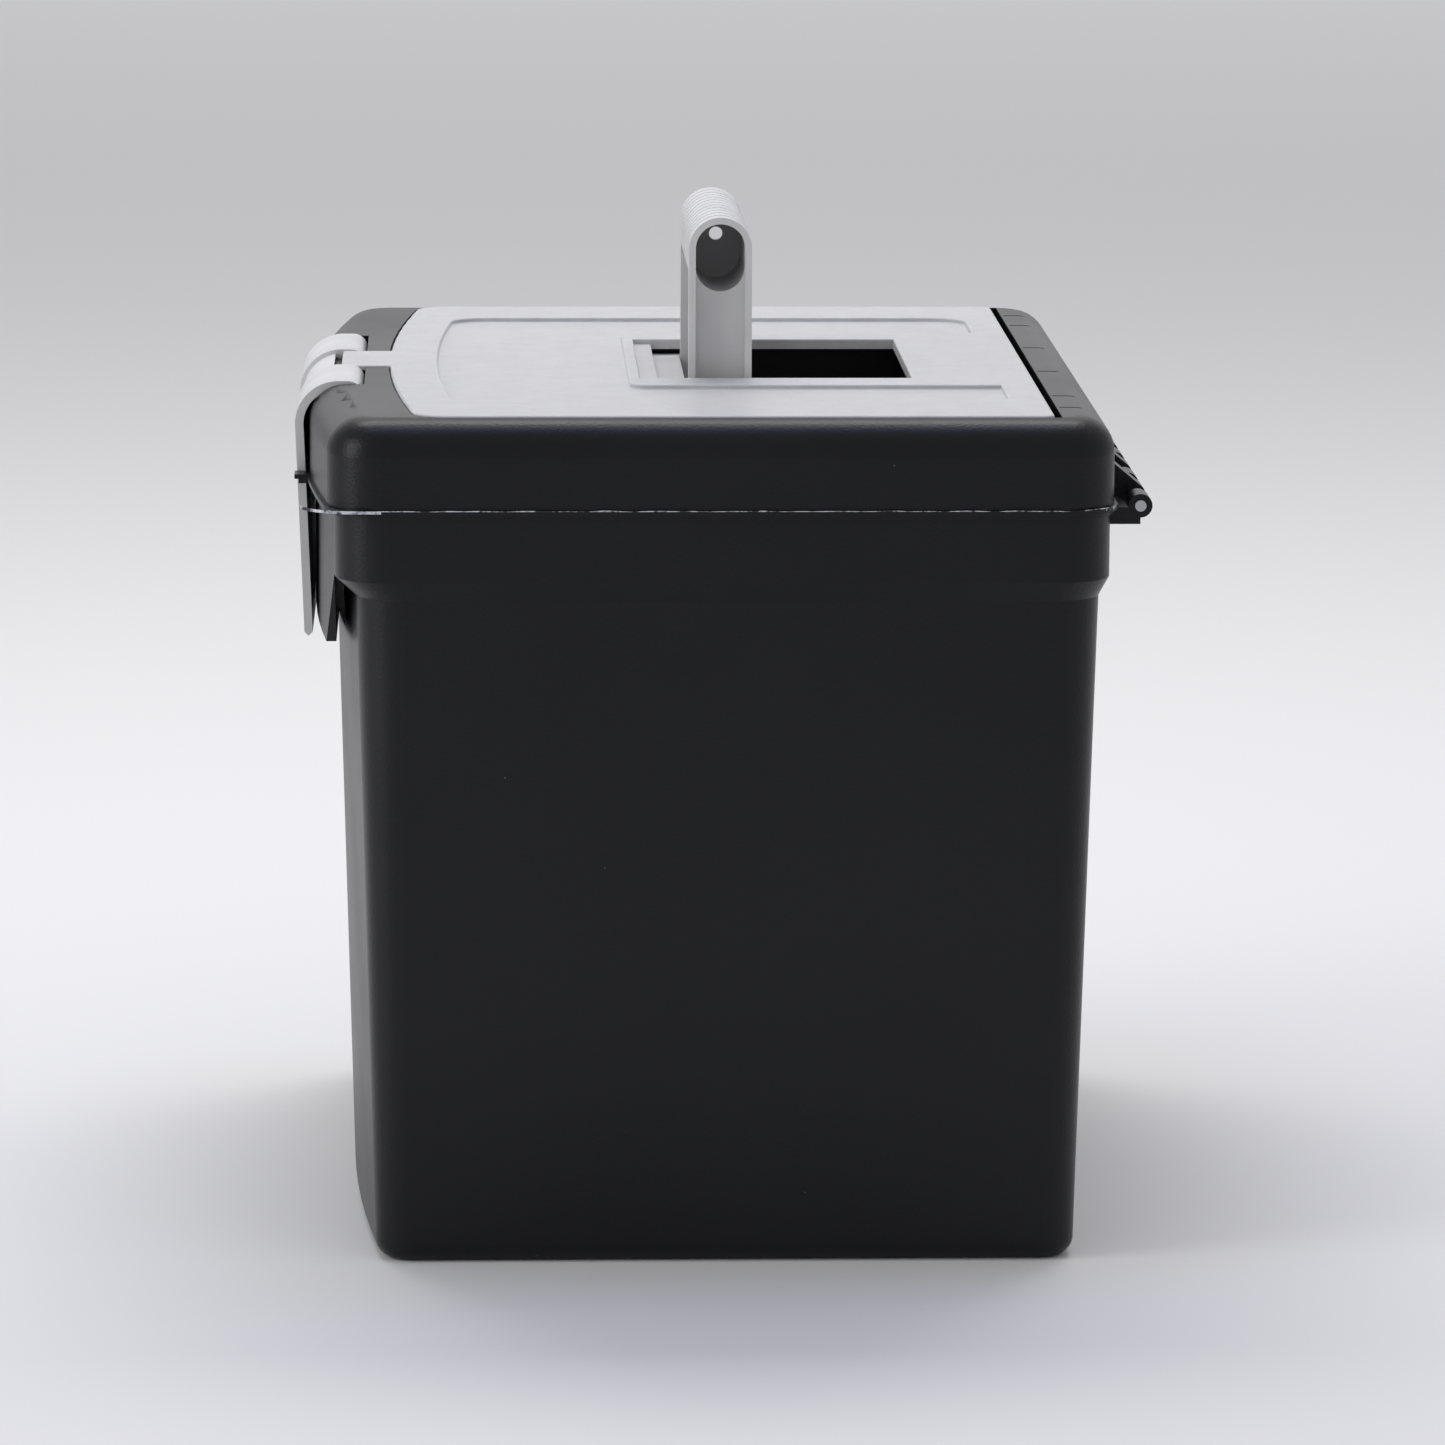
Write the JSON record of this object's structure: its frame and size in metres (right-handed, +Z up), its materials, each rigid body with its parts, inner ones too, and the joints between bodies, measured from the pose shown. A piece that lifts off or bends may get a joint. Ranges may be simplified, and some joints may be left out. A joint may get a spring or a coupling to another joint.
{
  "type": "portable file box",
  "caption": "Portable hanging-folder box with hinged lid, organiser tray under a frosted cover, folding carry handle and wide front latch.",
  "frame": {"origin": "on the floor, under the middle of the lid", "axes": "+Z up, -X towards the latch at the front, +X towards the hinge at the back, Y from side to side"},
  "size_m": [0.3035, 0.3478, 0.3613],
  "materials": {
    "black_plastic": "fine moulded texture, satin",
    "frosted_plastic": "milky translucent, frosted",
    "grey_plastic": "satin moulded",
    "steel": "drawn wire"
  },
  "bodies": {
    "body": {"bin": "black_plastic", "hinge_pin_near": "steel", "hinge_pin_far": "steel", "file_rail_near": "black_plastic", "file_rail_far": "black_plastic"},
    "lid": {"lid": "black_plastic", "handle_keeper": "grey_plastic", "latch_pin": "steel"},
    "cover": {"cover": "frosted_plastic"},
    "handle": {"handle": "grey_plastic"},
    "latch": {"latch": "grey_plastic"}
  },
  "joints": [
    {"name": "lid_hinge", "type": "hinge", "parent": "body", "child": "lid", "pos_m": [0.1485, 0, 0.269], "axis": [0, 1, 0], "range_deg": [0, 105]},
    {"name": "cover_hinge", "type": "hinge", "parent": "lid", "child": "cover", "pos_m": [0.1095, 0, 0.2983], "axis": [0, 1, 0], "range_deg": [0, 105]},
    {"name": "handle_fold", "type": "hinge", "parent": "lid", "child": "handle", "pos_m": [0.0031, 0, 0.2925], "axis": [0, 1, 0], "range_deg": [0, 90]},
    {"name": "latch_swing", "type": "hinge", "parent": "lid", "child": "latch", "pos_m": [-0.1315, 0, 0.2985], "axis": [0, 1, 0], "range_deg": [0, 90]}
  ]
}
